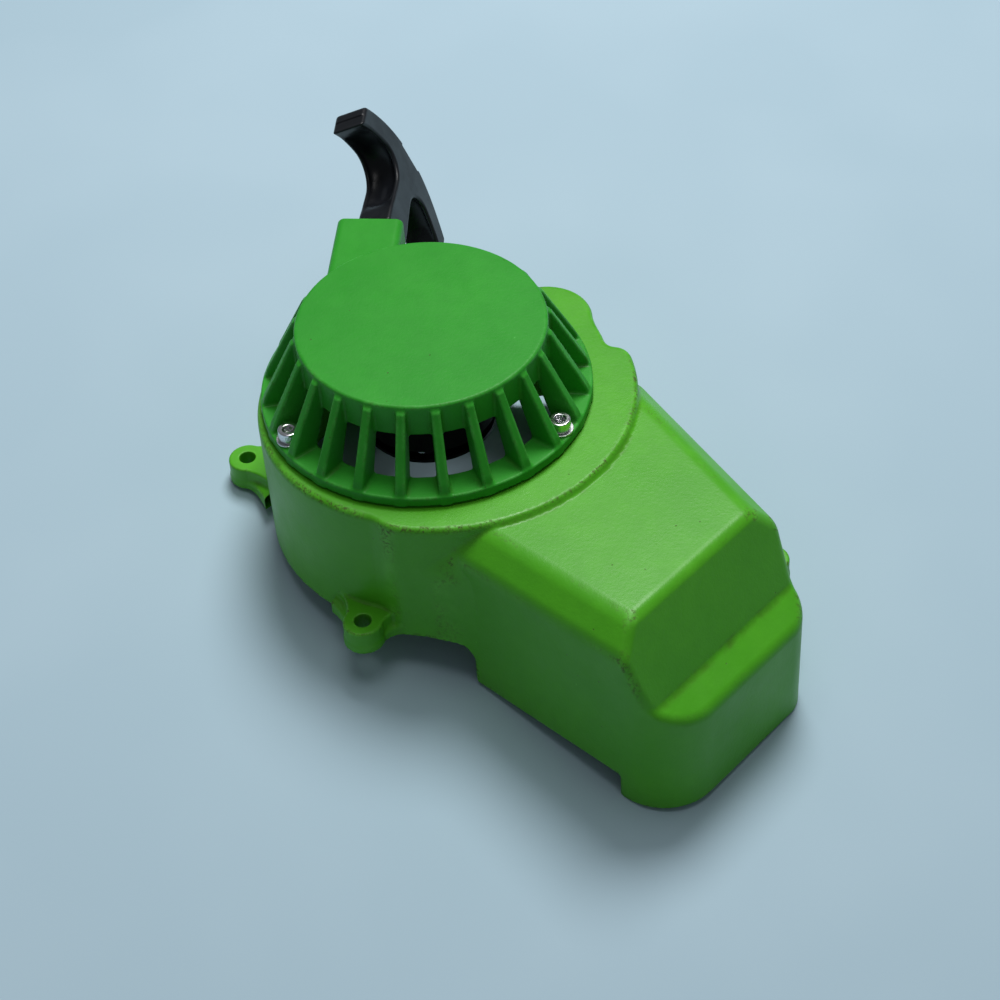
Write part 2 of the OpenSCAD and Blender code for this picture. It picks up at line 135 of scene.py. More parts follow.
def net_of(solid, low, high, step):
    """Points and quads of a solid's surface, by surface nets on a grid."""
    axes = [np.arange(a, b + step, step, dtype=np.float32) for a, b in zip(low, high)]
    grid = solid(*np.meshgrid(*axes, indexing="ij", sparse=False))
    inside = grid < 0
    count = np.zeros([n - 1 for n in grid.shape], np.int8)
    for dx in (0, 1):
        for dy in (0, 1):
            for dz in (0, 1):
                count += inside[dx:dx + count.shape[0], dy:dy + count.shape[1], dz:dz + count.shape[2]]
    active = (count > 0) & (count < 8)
    cells = np.argwhere(active)
    index = np.full(active.shape, -1, np.int32)
    index[active] = np.arange(len(cells))
    total, hits = np.zeros((len(cells), 3)), np.zeros(len(cells))
    quads = []
    for axis in range(3):
        second, third = (axis + 1) % 3, (axis + 2) % 3
        along = np.eye(3, dtype=int)[axis]
        for p in (0, 1):
            for q in (0, 1):
                start = cells.copy()
                start[:, second] += p
                start[:, third] += q
                a, b = grid[tuple(start.T)], grid[tuple((start + along).T)]
                crossed = (a < 0) != (b < 0)
                share = a[crossed] / (a[crossed] - b[crossed])
                total[crossed] += start[crossed] + share[:, None] * along
                hits[crossed] += 1
        near = [slice(1, n - 1) for n in grid.shape]
        far = list(near)
        near[axis], far[axis] = slice(0, grid.shape[axis] - 1), slice(1, grid.shape[axis])
        changed = np.argwhere(inside[tuple(near)] != inside[tuple(far)])
        changed[:, second] += 1
        changed[:, third] += 1
        corners = []
        for p, q in ((-1, -1), (0, -1), (0, 0), (-1, 0)):
            cell = changed.copy()
            cell[:, second] += p
            cell[:, third] += q
            corners.append(index[tuple(cell.T)])
        quad = np.stack(corners, 1)
        leaving = inside[tuple(changed.T)]
        quads.append(np.where(leaving[:, None], quad, quad[:, ::-1]))
    return np.array(low) + total / hits[:, None] * step, np.concatenate(quads)


def smooth_piece(name, points, faces, normals=None):
    """A mesh object from points in millimetres."""
    mesh = bpy.data.meshes.new(name)
    mesh.from_pydata((points * MM).tolist(), [], faces.tolist() if hasattr(faces, "tolist") else faces)
    mesh.polygons.foreach_set("use_smooth", np.ones(len(mesh.polygons), bool))
    if normals is not None:
        mesh.normals_split_custom_set_from_vertices(normals.tolist())
    piece = bpy.data.objects.new(name, mesh)
    bpy.context.scene.collection.objects.link(piece)
    return piece


def paint_point_value(piece, name, values):
    attribute = piece.data.attributes.new(name, "FLOAT", "POINT")
    attribute.data.foreach_set("value", values.astype(np.float32))


def solid_piece(name, solid, low, high, step, ridge):
    """A solid's surface as a mesh, with its ridges and grooves kept as point values."""
    points, quads = net_of(solid, low, high, step)
    start = points.copy()
    for _ in range(4):
        slope = slope_of(solid, points)
        shift = solid(*points.T) / np.maximum((slope ** 2).sum(1), 0.05)
        points -= np.clip(shift, -step / 2, step / 2)[:, None] * slope
    slope = slope_of(solid, points)
    normals = slope / np.linalg.norm(slope, axis=1)[:, None]
    a, b, c, d = (points[quads[:, k]] for k in range(4))
    facing = np.cross(c - a, d - b)
    folded = (facing * normals[quads].sum(1)).sum(1) < 0.8 * np.linalg.norm(facing, axis=1)
    points[quads[folded]] = start[quads[folded]]
    piece = smooth_piece(name, points, quads, normals)
    curvature = curvature_of(solid, points, ridge)
    paint_point_value(piece, "ridge", ease(curvature * ridge, 0.3, 0.7))
    paint_point_value(piece, "groove", ease(-curvature * ridge, 0.08, 0.5))
    return piece


# ---------------------------------------------------------------- fan shroud

CHAMBER_AT, CHAMBER_R, CHAMBER_TOP = (3.5, -0.3), 60, 51
LOBE_AT, LOBE_R = polar(55, 85), 16.5
FILL_AT, FILL_R = polar(52, 68), 13.5
SHOULDER_AT, SHOULDER_R, SHOULDER_FROM, SHOULDER_TO = (1.5, -1.5), 72.8, -62, 60
SCROLL_AT, SCROLL_R = (2.9, 6.2), 68.7
DUCT_START, DUCT_TOP, DUCT_SIDE, DUCT_END = 45, 49, -44, SHROUD_HIGH[0]
DUCT_FAR, DUCT_FAR_TURN = 57.7, math.radians(17)
SLOPE_FROM, SLOPE_TO, LEDGE_DROP = (118.8, DUCT_TOP), (132, 20), 5.6
CHAMFER = 9.2
SKIRT_FROM, SKIRT_BOTTOM, FOOT_FROM, FOOT_BOTTOM = 57.6, -17, 120.3, SHROUD_LOW[2]
LEFT_CORNER_R, RIGHT_CORNER_R = 20, 9
WALL = 3
OPENING_R = 48
LUG_R, LUG_TOP, LUG_HOLE_R = 6.7, 9, 2.9
LUGS = {"lug_left": (29.6, 14), "lug_front": (112.6, 11), "lug_duct": (252.8, 12), "lug_back": (299, 14)}
SCREW_R = 51.5
SCREW_ANGLES = [math.radians(a) for a in (12.1, 132.1, 252.1)]


def chamber_plan(x, y):
    plan = round_or(circle(x, y, CHAMBER_AT, CHAMBER_R), circle(x, y, LOBE_AT, LOBE_R), 6)
    plan = round_or(plan, circle(x, y, FILL_AT, FILL_R), 5)
    start, stop = polar(1, SHOULDER_FROM), polar(1, SHOULDER_TO)
    sector = np.maximum(-(y * start[0] - x * start[1]), y * stop[0] - x * stop[1])
    shoulder = round_and(circle(x, y, SHOULDER_AT, SHOULDER_R), circle(x, y, SCROLL_AT, SCROLL_R), 9)
    return round_or(plan, round_and(shoulder, sector, 8), 5)


def duct(x, y, z):
    ledge_end = (DUCT_END, SLOPE_TO[1] - LEDGE_DROP)
    upper = round_and(z - DUCT_TOP, plane(x, z, SLOPE_FROM, SLOPE_TO), 2.6)
    lower = np.maximum(plane(x, z, SLOPE_TO, ledge_end), z - SLOPE_TO[1] - 4)
    profile = round_or(upper, lower, 0.7)
    far_side = (x - DUCT_START) * math.sin(DUCT_FAR_TURN) + (y - DUCT_FAR) * math.cos(DUCT_FAR_TURN)
    plan = round_and(round_and(DUCT_SIDE - y, x - DUCT_END, LEFT_CORNER_R), far_side, RIGHT_CORNER_R)
    chamfer_z = z - DUCT_TOP + CHAMFER
    for side in (DUCT_SIDE - y, far_side):
        plan = round_and(plan, (side + chamfer_z) / math.sqrt(2), 2.4)
    return round_and(round_and(profile, plan, 2.5), DUCT_START - x, 3)


def shroud_skin(x, y, z):
    """The casting's outside, with nothing cut away below."""
    chamber = round_and(chamber_plan(x, y), z - CHAMBER_TOP, 2.2)
    fillet = 1.4 + 9 * ease(-z, -42, -28)
    return round_or(chamber, duct(x, y, z), fillet)


def lug(x, y, z, at, toward, reach):
    """A mounting lug: a tab round the hole, on a lower web that spreads along the wall."""
    c, s = math.cos(math.radians(toward)), math.sin(math.radians(toward))
    u = (x - at[0]) * c + (y - at[1]) * s
    v = np.abs((y - at[1]) * c - (x - at[0]) * s)
    share = np.clip(u / reach, 0, 1.1)
    eye = np.hypot(u, v) - LUG_R
    ends = np.maximum(-u, u - reach - 4)
    tab = np.minimum(eye, np.maximum((v - LUG_R + 0.2 - 6.5 * share ** 2) * 0.8, ends))
    web = np.minimum(eye, np.maximum((v - LUG_R + 0.3 - 15 * share ** 1.6) * 0.6, ends))
    both = round_or(round_and(tab, z - LUG_TOP, 0.8),
                    round_and(web, (z - 2.8 - 3.4 * share) * 0.9, 0.9), 1.2)
    return np.maximum(both, -z)


def lug_solid(name):
    """A lug with its hole, the fillet round its root and a little of the wall behind it."""
    at, (toward, reach) = mounts[name], LUGS[name]

    def solid(x, y, z):
        tab = np.maximum(lug(x, y, z, at, toward, reach), -shroud_skin(x, y, z) - 1)
        joined = np.maximum(round_or(shroud(x, y, z), tab, 1.2), tab - 1.17)
        hole = np.maximum(circle(x, y, at, LUG_HOLE_R), np.abs(z - LUG_TOP / 2) - LUG_TOP)
        return np.maximum(round_and(joined, -hole, 0.35), 0.03 - z)
    return solid


def shroud(x, y, z):
    skin = shroud_skin(x, y, z)
    shell = np.maximum(skin, -skin - WALL)
    underside = round_or(-z, round_and(SKIRT_FROM - x, SKIRT_BOTTOM - z, 1.5), 6)
    underside = round_or(underside, round_and(FOOT_FROM - x, FOOT_BOTTOM - z, 0.8), 0.8)
    shell = round_and(shell, underside, 0.7)
    for angle in SCREW_ANGLES:
        centre = (SCREW_R * math.cos(angle), SCREW_R * math.sin(angle))
        boss = np.maximum(circle(x, y, centre, 5.6), np.abs(z - CHAMBER_TOP + 6.5) - 5)
        shell = round_or(shell, boss, 1)
        shell = round_and(shell, -np.maximum(circle(x, y, centre, 2.0), 38 - z), 0.3)
    return round_and(shell, -np.maximum(np.hypot(x, y) - OPENING_R, 30 - z), 0.5)


# ---------------------------------------------------------------- starter housing

DISC_R, DISC_TOP, DISC_BOTTOM = 42, HOUSING_HIGH[2], HOUSING_HIGH[2] - 4
DOME_WALL, DOME_BOTTOM = 2.8, 70
RING_R, RING_INNER, RING_BOTTOM, RING_TOP = 56, 45.6, CHAMBER_TOP, 55.2
FIN_COUNT, FIN_PHASE, FIN_T = 24, math.radians(4.6), 3
FIN_HEAD, FIN_FOOT = (DISC_R + 1, DISC_TOP - 1.6), (RING_R, RING_TOP)
NECK_SIDE, NECK_W, NECK_TOP, NECK_BOTTOM, NECK_WALL = 13, 23.3, 76, 54, 3
POST_R, POST_BOTTOM = 6, HOUSING_LOW[2]


def fins(x, y, z):
    pitch = 2 * math.pi / FIN_COUNT
    angle = np.arctan2(y, x) - FIN_PHASE
    angle = angle - pitch * np.round(angle / pitch)
    r = np.hypot(x, y)
    u, v = r * np.cos(angle), r * np.sin(angle)
    outer = round_and(-plane(u, z, FIN_FOOT, FIN_HEAD), u - RING_R, 2)
    outer = round_and(outer, z - FIN_HEAD[1], 1)
    inner = np.maximum(plane(u, z, (RING_INNER, RING_TOP), (DISC_R - 1.5, DOME_BOTTOM)), DISC_R - 2 - u)
    blade = np.maximum(np.maximum(outer, inner), RING_BOTTOM + 1 - z)
    draft = 0.3 * (1 - (z - RING_TOP) / (DISC_TOP - RING_TOP))
    return round_and(blade, np.abs(v) - FIN_T / 2 - draft, 0.75)


def neck(x, y, z):
    along = x * PULL[0] + y * PULL[1]
    across = np.abs(x * SIDE[0] + y * SIDE[1] - NECK_SIDE - NECK_W / 2)
    outside = round_and(round_and(across - NECK_W / 2, z - NECK_TOP, 2.6), along - NECK_END, 0.9)
    outside = np.maximum(np.maximum(outside, NECK_BOTTOM - z), 20 - along)
    inside = np.maximum(across - NECK_W / 2 + NECK_WALL, np.abs(z - (NECK_TOP + NECK_BOTTOM) / 2) - 8)
    return np.maximum(outside, -np.maximum(inside, along - NECK_END + 5))


def housing(x, y, z):
    r = np.hypot(x, y)
    body = np.maximum(round_and(r - DISC_R, z - DISC_TOP, 1.1), DISC_BOTTOM - z)
    dome = np.abs(r - DISC_R + DOME_WALL / 2) - DOME_WALL / 2
    dome = np.maximum(round_and(dome, DOME_BOTTOM - z, 0.7), z - DISC_TOP + 2)
    body = np.minimum(body, dome)
    spout = np.maximum(neck(x, y, z), np.where(z < DISC_BOTTOM, DISC_R - DOME_WALL - r, -9))
    middle, half = (RING_R + RING_INNER) / 2, (RING_R - RING_INNER) / 2
    ring_z, ring_half = (RING_TOP + RING_BOTTOM) / 2, (RING_TOP - RING_BOTTOM) / 2
    ring = round_and(np.abs(r - middle) - half, np.abs(z - ring_z) - ring_half, 0.7)
    ring = round_and(ring, -np.maximum(RING_R - 1.3 - r, z - RING_BOTTOM - 0.7), 0.2)
    body = np.minimum(body, ring)
    body = round_or(body, fins(x, y, z), 1)
    body = round_or(body, spout, 1.2)
    spigot = round_and(np.abs(r - 46.6) - 1.0, np.abs(z - RING_BOTTOM + 0.5) - 2, 0.4)
    post = round_and(r - POST_R, POST_BOTTOM - z, 0.5)
    lip = np.maximum(np.abs(r - 28.05) - 0.95, DISC_BOTTOM - 1.5 - z)
    inside = np.maximum(np.minimum(post, lip), z - DISC_TOP + 2)
    body = np.minimum(np.minimum(body, spigot), inside)
    body = np.maximum(body, -np.maximum(r - 2.95, z - POST_BOTTOM - 12.5))
    along = x * PULL[0] + y * PULL[1]
    from_rope = np.hypot(x * SIDE[0] + y * SIDE[1] - ROPE_OFFSET, z - ROPE_Z)
    body = round_and(body, -np.maximum(from_rope - 4.95, NECK_END - 7 - along), 0.3)
    body = np.maximum(body, -np.maximum(from_rope - 4, 20 - along))
    for angle in SCREW_ANGLES:
        centre = (SCREW_R * math.cos(angle), SCREW_R * math.sin(angle))
        body = np.maximum(body, -np.maximum(circle(x, y, centre, 2.2), z - RING_TOP - 1))
    return body


# ---------------------------------------------------------------- cap screw

HEAD_R, HEAD_H, SOCKET_R, SOCKET_DEPTH, SCREW_SHANK_R = 3.5, 4, 1.73, 2.4, 1.95


def cap_screw(x, y, z):
    """A socket head cap screw on its own axis, with its head's top face at z = 0."""
    r, angle = np.hypot(x, y), np.arctan2(y, x)
    side = r - HEAD_R - 0.06 * np.cos(48 * angle) * ease(z, -HEAD_H + 0.3, -HEAD_H + 0.8) * ease(-z,
                                                                                                 0.7, 1.1)
    head = round_and(side, np.abs(z + HEAD_H / 2) - HEAD_H / 2, 0.4)
    flat = angle - math.pi / 3 * np.round(angle / (math.pi / 3))
    socket = np.maximum(r * np.cos(flat) - SOCKET_R * math.cos(math.pi / 6), -SOCKET_DEPTH - z)
    socket = np.minimum(socket, (r - SOCKET_R - 0.25 - z) * 0.7)
    shank = np.maximum(r - SCREW_SHANK_R, np.maximum(z + HEAD_H - 0.2, SCREWS_LOW[2] - SCREWS_HIGH[2] - z))
    return np.minimum(round_and(head, -socket, 0.12), shank)


def screws_piece():
    reach_z = SCREWS_LOW[2] - SCREWS_HIGH[2] - 0.6
    piece = solid_piece("t_screws", cap_screw, (-4.2, -4.2, reach_z), (4.2, 4.2, 0.6), 0.2, 0.4)
    single = piece.data.copy()
    for k, angle in enumerate(SCREW_ANGLES):
        place = Vector((SCREW_R * math.cos(angle), SCREW_R * math.sin(angle), SCREWS_HIGH[2])) * MM
        turn = Matrix.Translation(place) @ Matrix.Rotation(0.4 + 0.7 * k, 4, "Z")
        if k == 0:
            piece.data.transform(turn)
            joined = [piece]
        else:
            mesh = single.copy()
            mesh.transform(turn)
            joined.append(bpy.data.objects.new("t_screw", mesh))
            bpy.context.scene.collection.objects.link(joined[-1])
    with bpy.context.temp_override(active_object=piece, selected_editable_objects=joined):
        bpy.ops.object.join()
    return piece


# ---------------------------------------------------------------- handle

HANDLE_TURN = math.radians(22)
ARM_UP = SIDE * math.sin(HANDLE_TURN) + np.array([0, 0, math.cos(HANDLE_TURN)])
FACE_OUT = np.cross(PULL, ARM_UP)
HANDLE_HALF, HANDLE_LEN = 32.5, 47.0
BACK_R, INNER_R, INNER_V = 52, 52, 36
NOSE_V, STEM_HALF, POCKET_R, POCKET_V = 1.7, 7, 5.6, 34
NOTCH_HALF, NOTCH_DEPTH = 6.6, 2.2
ROPE_R, KNOT_R = 1.5, 4.2


def handle(v, u, w):
    """The handle in its own axes: v along the rope from the neck, u along the arms, w across."""
    back = np.hypot(v - HANDLE_LEN + BACK_R, u) - BACK_R
    front = INNER_R - np.hypot(v - INNER_V + INNER_R, u)
    ends = np.abs(u) - HANDLE_HALF
    arms = round_and(round_and(back, front, 1.6), ends, 1.2)
    stem = np.maximum(np.abs(u) - STEM_HALF + 1.2 * ease(v, 5, 25), v - 42)
    plan = round_or(arms, stem, 11)
    depth = 0.05 + 2.8 * ease(-np.abs(u), -31, -22) * ease(v, 10, 20)
    scoop = np.maximum((np.hypot(plan / depth, w / 5.2) - 1) * depth, back + 4)
    plan = round_and(np.maximum(plan, back), NOSE_V - v, 1.5)
    half = 6.2 + 0.5 * ease(-np.abs(u), -30, -4)
    body = round_and(plan, np.abs(w) - half, 1.5)
    body = round_and(body, -scoop, 0.8)
    notch = np.maximum(np.abs(u) - NOTCH_HALF, HANDLE_LEN - NOTCH_DEPTH - v)
    body = round_and(body, -notch, 0.4)
    body = round_and(body, -np.maximum(np.hypot(u, w) - POCKET_R, POCKET_V - v), 0.7)
    return round_and(body, -(np.hypot(u, w) - 1.9), 0.4)


def handle_piece():
    piece = solid_piece("t_handle", handle, (-1, -35, -9), (49, 35, 9), 0.5, 1)
    axes = Matrix([[PULL[k], ARM_UP[k], FACE_OUT[k]] for k in range(3)]).to_4x4()
    axes.translation = Vector(NECK_FACE * MM)
    piece.data.transform(axes)
    return piece


# ---------------------------------------------------------------- rope

def tube(name, path, r, sides=10, closed=False):
    """A tube along a path of points in millimetres."""
    path = np.array(path, float)
    ahead = np.roll(path, -1, 0) - np.roll(path, 1, 0)
    if not closed:
        ahead[0], ahead[-1] = path[1] - path[0], path[-1] - path[-2]
    ahead /= np.linalg.norm(ahead, axis=1)[:, None]
    up = np.cross(ahead[0], [0, 0, 1.0] if abs(ahead[0][2]) < 0.9 else [1.0, 0, 0])
    points = []
    for place, direction in zip(path, ahead):
        up = up - direction * (up @ direction)
        up /= np.linalg.norm(up)
        across = np.cross(direction, up)
        turns = np.arange(sides) * 2 * math.pi / sides
        points.append(place + r * (np.cos(turns)[:, None] * up + np.sin(turns)[:, None] * across))
    rings = len(path) if closed else len(path) - 1
    faces = []
    for i in range(rings):
        a, b = i * sides, ((i + 1) % len(path)) * sides
        faces += [(a + k, a + (k + 1) % sides, b + (k + 1) % sides, b + k) for k in range(sides)]
    if not closed:
        faces += [tuple(range(sides))[::-1], tuple((len(path) - 1) * sides + k for k in range(sides))]
    return smooth_piece(name, np.concatenate(points), faces)


def rope_point(along):
    return NECK_FACE + PULL * (along - NECK_END)


def lead_piece():
    """The run of rope from the reel to the knot, with closely spaced rings just outside the neck."""
    inside = np.linspace(2, NECK_END + 0.4, 24)
    grows = np.linspace(NECK_END + 0.4, NECK_END + 1.6, 60)[1:]
    in_handle = np.linspace(NECK_END + 1.6, NECK_END + POCKET_V + 2, 16)[1:]
    path = [rope_point(t) for t in np.concatenate([inside, grows, in_handle])]
    piece = tube("t_rope_lead", path, ROPE_R, 16)
    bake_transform(piece)
    return piece


def windings_piece():
    """The rope on the reel, as one coil of seven turns in four layers."""
    low_z = ROPE_Z - 3.3
    stations = [(12.5, low_z), (12.5, ROPE_Z), (15.6, ROPE_Z), (15.6, low_z), (18.7, low_z), (18.7, ROPE_Z),
                (22, low_z)]
    per_turn = 48
    path = []
    for turn, (r, z) in enumerate(stations):
        after = stations[min(turn + 1, len(stations) - 1)]
        for i in range(per_turn):
            share = float(ease(i / per_turn, 0.8, 1))
            angle = 2 * math.pi * i / per_turn
            place = (r + (after[0] - r) * share, z + (after[1] - z) * share)
            path.append([place[0] * math.cos(angle), place[0] * math.sin(angle), place[1]])
    return tube("t_rope_windings", path, ROPE_R, 12)


def knot_piece():
    """A stopper knot: a trefoil of rope, pulled tight in the handle's pocket."""
    centre = NECK_FACE + PULL * (POCKET_V + 1.3 + KNOT_R)
    turn = np.linspace(0, 2 * math.pi, 90, endpoint=False)
    a, b, c = (np.sin(turn) + 1.6 * np.sin(2 * turn), np.cos(turn) - 1.6 * np.cos(2 * turn),
               -1.5 * np.sin(3 * turn))
    across, up = SIDE, np.array([0, 0, 1.0])
    path = centre + a[:, None] * across + b[:, None] * up + c[:, None] * PULL
    return tube("t_handle_knot", path, ROPE_R * 0.95, 12, closed=True)



# ---------------------------------------------------------------- material nodes

def add(tree, kind, inputs=None, **settings):
    """A shader node with its settings and its inputs, each a value or another node's socket."""
    node = tree.nodes.new(kind)
    for key, value in settings.items():
        setattr(node, key, value)
    for key, value in (inputs or {}).items():
        if isinstance(value, bpy.types.NodeSocket):
            tree.links.new(value, node.inputs[key])
        else:
            node.inputs[key].default_value = value
    return node


def fresh(name, **settings):
    """A new material: its tree, its Principled shader and the object coordinates."""
    material = bpy.data.materials.new(name)
    material.use_nodes = True
    tree = material.node_tree
    shader = tree.nodes["Principled BSDF"]
    for key, value in settings.items():
        shader.inputs[key.replace("_", " ")].default_value = value
    return material, tree, shader, add(tree, "ShaderNodeTexCoord").outputs["Object"]


def noise(tree, where, size_mm, detail=3, roughness=0.55):
    inputs = {"Vector": where, "Scale": 1 / (size_mm * MM), "Detail": detail, "Roughness": roughness}
    return add(tree, "ShaderNodeTexNoise", inputs).outputs[0]


def stretch(tree, value, low, high, to_low=0.0, to_high=1.0):
    inputs = {"Value": value, "From Min": low, "From Max": high, "To Min": to_low, "To Max": to_high}
    return add(tree, "ShaderNodeMapRange", inputs).outputs[0]


def combine(tree, operation, a, b=0.0):
    return add(tree, "ShaderNodeMath", {0: a, 1: b}, operation=operation).outputs[0]


def mixed(tree, share, a, b):
    """Colour a where share is 0 and b where it is 1."""
    return add(tree, "ShaderNodeMix", {0: share, 6: a, 7: b}, data_type="RGBA").outputs[2]


def point_value(tree, name):
    return add(tree, "ShaderNodeAttribute", attribute_name=name).outputs["Fac"]


def specks(tree, where, cell_mm, size, share):
    """Small spots, one in some of the cells of a random grid."""
    cells = add(tree, "ShaderNodeTexVoronoi", {"Vector": where, "Scale": 1 / (cell_mm * MM)})
    red = add(tree, "ShaderNodeSeparateColor", {0: cells.outputs["Color"]}).outputs[0]
    chosen = combine(tree, "LESS_THAN", red, share)
    return combine(tree, "MULTIPLY", stretch(tree, cells.outputs["Distance"], size, size * 0.5), chosen)


def bump(tree, shader, height, depth_mm, strength=1.0):
    node = add(tree, "ShaderNodeBump", {"Height": height, "Distance": depth_mm * MM, "Strength": strength})
    tree.links.new(node.outputs[0], shader.inputs["Normal"])


def grey(value):
    return (value, value, value, 1)


def enamel(name, light, dark, dirt, shine, roughness, wear):
    """Sprayed enamel on a die casting: orange peel, small specks, dirt on the ridges, ridges made paler green as a
    painted edge highlight that also stands for paint worn thin, and grooves darkened towards brown.
    """
    material, tree, shader, where = fresh(name, Specular_IOR_Level=shine)
    broad = stretch(tree, noise(tree, where, 45, 3), 0.35, 0.65)
    mottle = stretch(tree, noise(tree, where, 5, 4), 0.35, 0.7)
    colour = mixed(tree, broad, light, dark)
    shade = tuple(0.88 * v for v in dark[:3]) + (1,)
    colour = mixed(tree, combine(tree, "MULTIPLY", mottle, 0.35), colour, shade)
    ridge, groove = point_value(tree, "ridge"), point_value(tree, "groove")
    pale = tuple(min(1, 1.25 * v + 0.03) for v in light[:3]) + (1,)
    # Painted edge highlight: ridges are mixed towards a paler green, partly standing for paint worn thin on the
    # edges.
    ridge_highlight_and_wear = combine(tree, "MULTIPLY", ridge, stretch(tree, noise(tree, where, 9, 5), 0.42, 0.62))
    colour = mixed(tree, combine(tree, "MULTIPLY", ridge_highlight_and_wear, 0.55), colour, pale)
    patches = stretch(tree, noise(tree, where, 18, 3), 0.4, 0.58)
    grain = stretch(tree, noise(tree, where, 1.2, 6, 0.75), 0.48, 0.6)
    soiled = combine(tree, "MULTIPLY", combine(tree, "MULTIPLY", ridge, patches), grain)
    colour = mixed(tree, combine(tree, "MULTIPLY", soiled, wear), colour, dirt)
    # Grooves and concave fillets darkened towards brown, in patches.
    groove_darkening = combine(tree, "MULTIPLY", groove, stretch(tree, noise(tree, where, 6, 4), 0.4, 0.7))
    colour = mixed(tree, combine(tree, "MULTIPLY", groove_darkening, 0.35), colour, dirt)
    dark_specks = specks(tree, where, 4.5, 0.075, 0.16)
    colour = mixed(tree, combine(tree, "MULTIPLY", dark_specks, 0.75), colour, dirt)
    pale_specks = specks(tree, where, 7.3, 0.05, 0.12)
    colour = mixed(tree, combine(tree, "MULTIPLY", pale_specks, 0.8), colour, pale)
    tree.links.new(colour, shader.inputs["Base Color"])
    gloss = stretch(tree, noise(tree, where, 14, 4), 0.3, 0.7, roughness * 0.85, roughness * 1.15)
    gloss = combine(tree, "ADD", gloss, combine(tree, "MULTIPLY", soiled, 0.3))
    tree.links.new(gloss, shader.inputs["Roughness"])
    peel = combine(tree, "MULTIPLY", noise(tree, where, 1.3, 2, 0.4), 0.6)
    peel = combine(tree, "ADD", peel, combine(tree, "MULTIPLY", noise(tree, where, 0.5, 2), 0.4))
    peel = combine(tree, "SUBTRACT", peel, combine(tree, "MULTIPLY", dark_specks, 0.8))
    bump(tree, shader, peel, 0.1, 0.8)
    return material


def metal(name, colour, roughness, grain_mm=0.5, turned=False, tint=0.25):
    """Bare or plated metal with fine grain and smudges, and fine rings where it is turned."""
    material, tree, shader, where = fresh(name, Metallic=1.0)
    smudge = stretch(tree, noise(tree, where, 7, 5), 0.35, 0.7)
    grain = noise(tree, where, grain_mm, 4, 0.65)
    dark = tuple(v * (1 - tint) for v in colour[:3]) + (1,)
    tree.links.new(mixed(tree, smudge, colour, dark), shader.inputs["Base Color"])
    rough = combine(tree, "ADD", stretch(tree, smudge, 0, 1, roughness * 0.8, roughness * 1.3),
                    stretch(tree, grain, 0.3, 0.7, -0.04, 0.06))
    tree.links.new(rough, shader.inputs["Roughness"])
    if turned:
        rings = add(tree, "ShaderNodeTexWave",
                    {"Vector": where, "Scale": 320, "Distortion": 1.5, "Detail": 3},
                    wave_type="RINGS", rings_direction="Z").outputs[1]
        grain = combine(tree, "ADD", combine(tree, "MULTIPLY", grain, 0.5),
                        combine(tree, "MULTIPLY", rings, 0.5))
    bump(tree, shader, grain, 0.03, 0.5)
    return material


def plastic(name, colour, roughness, texture_mm=0.5, depth_mm=0.03, sheen=0.5):
    """Moulded plastic: a fine mould texture, scuffs and uneven gloss."""
    material, tree, shader, where = fresh(name, Specular_IOR_Level=sheen)
    scuff = stretch(tree, noise(tree, where, 11, 6, 0.65), 0.5, 0.75)
    pale = tuple(v * 1.9 + 0.012 for v in colour[:3]) + (1,)
    ridge = point_value(tree, "ridge")
    worn = combine(tree, "MAXIMUM", combine(tree, "MULTIPLY", scuff, 0.4),
                   combine(tree, "MULTIPLY", ridge, 0.35))
    tree.links.new(mixed(tree, worn, colour, pale), shader.inputs["Base Color"])
    rough = combine(tree, "ADD",
                    stretch(tree, noise(tree, where, 16, 4), 0.3, 0.7, roughness, roughness * 1.5),
                    combine(tree, "MULTIPLY", scuff, 0.12))
    tree.links.new(rough, shader.inputs["Roughness"])
    height = combine(tree, "ADD", noise(tree, where, texture_mm, 3), combine(tree, "MULTIPLY", scuff, 0.4))
    bump(tree, shader, height, depth_mm, 0.6)
    return material


def braided_rope(name, along, around):
    """Braided black cord. along is the axis of its run and around is a point on it, in metres."""
    material, tree, shader, where = fresh(name, Roughness=0.75, Sheen_Weight=0.3)
    centred = add(tree, "ShaderNodeVectorMath", {0: where, 1: around}, operation="SUBTRACT").outputs[0]
    side, up = Vector(along).cross((0, 0, 1)).normalized(), Vector((0, 0, 1))
    run, across, rise = (add(tree, "ShaderNodeVectorMath", {0: centred, 1: axis},
                             operation="DOT_PRODUCT").outputs[1]
                         for axis in (Vector(along), side, up))
    angle = combine(tree, "ARCTAN2", rise, across)
    strands = []
    for turn in (1, -1):
        phase = combine(tree, "ADD", combine(tree, "MULTIPLY", run, 3400),
                        combine(tree, "MULTIPLY", angle, 4 * turn))
        strands.append(combine(tree, "SINE", phase))
    braid = stretch(tree, combine(tree, "MAXIMUM", *strands), -0.6, 1)
    fibre = noise(tree, where, 0.25, 3)
    tree.links.new(mixed(tree, braid, grey(0.006), grey(0.045)), shader.inputs["Base Color"])
    bump(tree, shader, combine(tree, "ADD", braid, combine(tree, "MULTIPLY", fibre, 0.3)), 0.25)
    return material


def wound_rope(name):
    """The same cord where it is wound or knotted: short strands that cross."""
    material, tree, shader, where = fresh(name, Roughness=0.75, Sheen_Weight=0.3)
    cells = add(tree, "ShaderNodeTexVoronoi", {"Vector": where, "Scale": 1100, "Randomness": 0.35},
                feature="F1")
    strand = stretch(tree, cells.outputs["Distance"], 0, 0.7, 1, 0)
    tree.links.new(mixed(tree, strand, grey(0.006), grey(0.045)), shader.inputs["Base Color"])
    fibre = combine(tree, "MULTIPLY", noise(tree, where, 0.25, 3), 0.3)
    bump(tree, shader, combine(tree, "ADD", strand, fibre), 0.22)
    return material


# ---------------------------------------------------------------- pieces

def dress(piece, material):
    piece.data.materials.clear()
    piece.data.materials.append(material)


